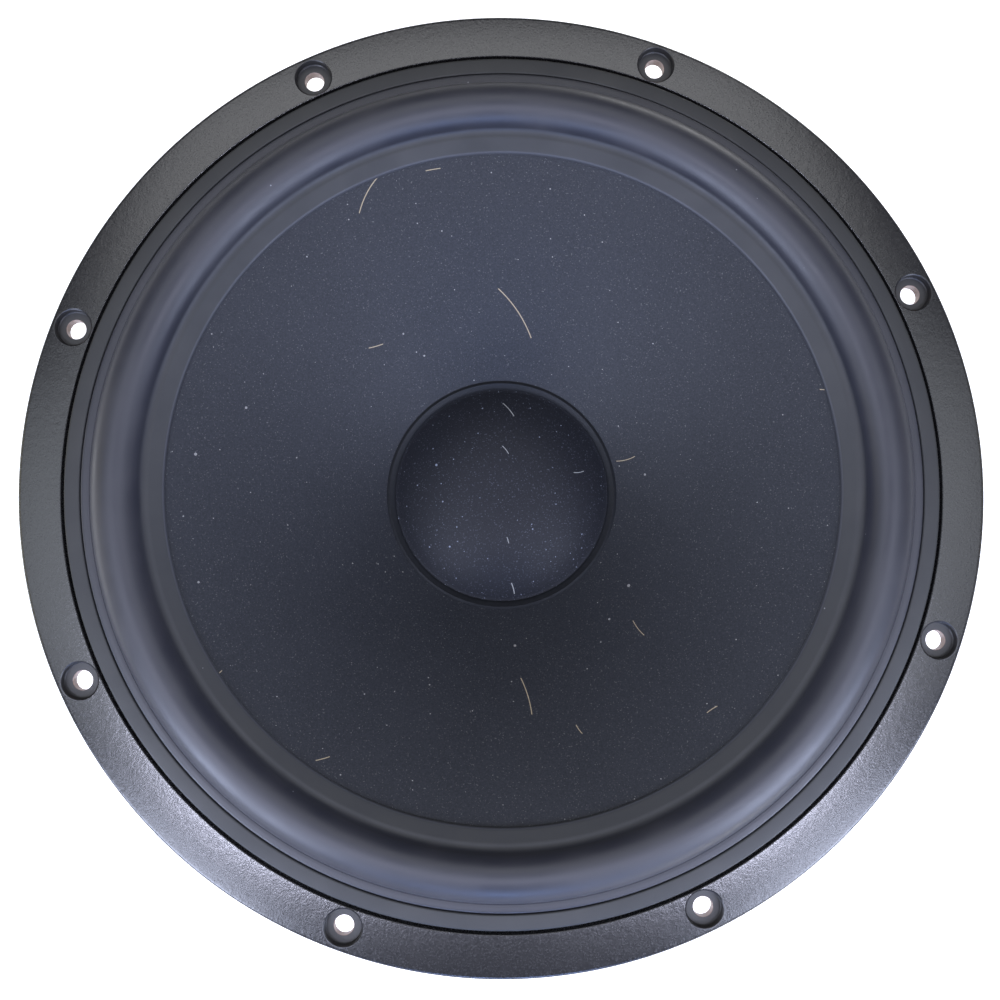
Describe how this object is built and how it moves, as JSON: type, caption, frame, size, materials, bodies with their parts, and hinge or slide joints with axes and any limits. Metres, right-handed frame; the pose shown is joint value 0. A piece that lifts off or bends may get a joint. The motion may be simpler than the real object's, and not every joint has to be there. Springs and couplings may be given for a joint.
{
  "type": "car subwoofer driver",
  "caption": "Round loudspeaker driver with a cast basket, half-roll surround, speckled cone, convex dust cap and a rubber-covered magnet motor.",
  "frame": {"origin": "centre of the mounting bolt circle, in the plane of the flange's rear face, which seats on the baffle", "axes": "+Z along the driver's axis, out of the cone towards the listener; -Y towards the terminals"},
  "size_m": [0.31, 0.31, 0.1516],
  "materials": {
    "basket_cast": "black powder coat, fine texture, satin",
    "trim_plastic": "matte",
    "surround_rubber": "matte",
    "spider_cloth": "matte",
    "cone_pulp": "matte, speckled pulp",
    "cap_pulp": "matte, speckled",
    "bead_glue": "satin",
    "former_foil": "satin",
    "copper": "satin",
    "neck_glue": "gloss",
    "plated_steel": "satin",
    "ferrite": "matte",
    "bare_aluminium": "satin",
    "boot_rubber": "satin",
    "screen_steel": "matte",
    "black_screws": "satin",
    "bright_screws": "satin",
    "terminal_plastic": "matte",
    "contact_brass": "satin",
    "plunger_metal": "satin",
    "red_plastic": "gloss",
    "black_plastic": "gloss",
    "spring_steel": "satin",
    "lead_braid": "satin"
  },
  "bodies": {
    "frame": {"basket": "basket_cast", "trim_ring": "trim_plastic", "surround": "surround_rubber", "spider": "spider_cloth", "front_plate": "plated_steel", "front_magnet": "ferrite", "rear_magnet": "ferrite", "yoke": "plated_steel", "shorting_ring": "bare_aluminium", "magnet_boot": "boot_rubber", "vent_screen": "screen_steel", "motor_screws": "black_screws", "terminal_block": "terminal_plastic", "terminal_cover": "terminal_plastic", "cover_screws": "bright_screws", "block_screws": "bright_screws", "plus_contact": "contact_brass", "minus_contact": "contact_brass", "plus_spring": "spring_steel", "minus_spring": "spring_steel", "plus_lead": "lead_braid", "minus_lead": "lead_braid"},
    "cone_assembly": {"cone": "cone_pulp", "dust_cap": "cap_pulp", "cap_bead": "bead_glue", "coil_former": "former_foil", "coil_winding": "copper", "neck_glue": "neck_glue", "coil_leads": "copper", "lead_pads": "neck_glue"},
    "plus_push": {"plus_plunger": "plunger_metal", "plus_button": "red_plastic"},
    "minus_push": {"minus_plunger": "plunger_metal", "minus_button": "black_plastic"}
  },
  "joints": [
    {"name": "cone_travel", "type": "slide", "parent": "frame", "child": "cone_assembly", "axis": [0, 0, 1], "range_m": [-0.012, 0.012], "stiffness_N_per_m": 2500, "deforming": ["surround", "spider", "plus_lead", "minus_lead"]},
    {"name": "plus_button_press", "type": "slide", "parent": "frame", "child": "plus_push", "axis": [0, 1, 0], "range_m": [0, 0.004], "stiffness_N_per_m": 400, "springref_m": -0.002, "deforming": ["plus_spring"]},
    {"name": "minus_button_press", "type": "slide", "parent": "frame", "child": "minus_push", "axis": [0, 1, 0], "range_m": [0, 0.004], "stiffness_N_per_m": 400, "springref_m": -0.002, "deforming": ["minus_spring"]}
  ]
}
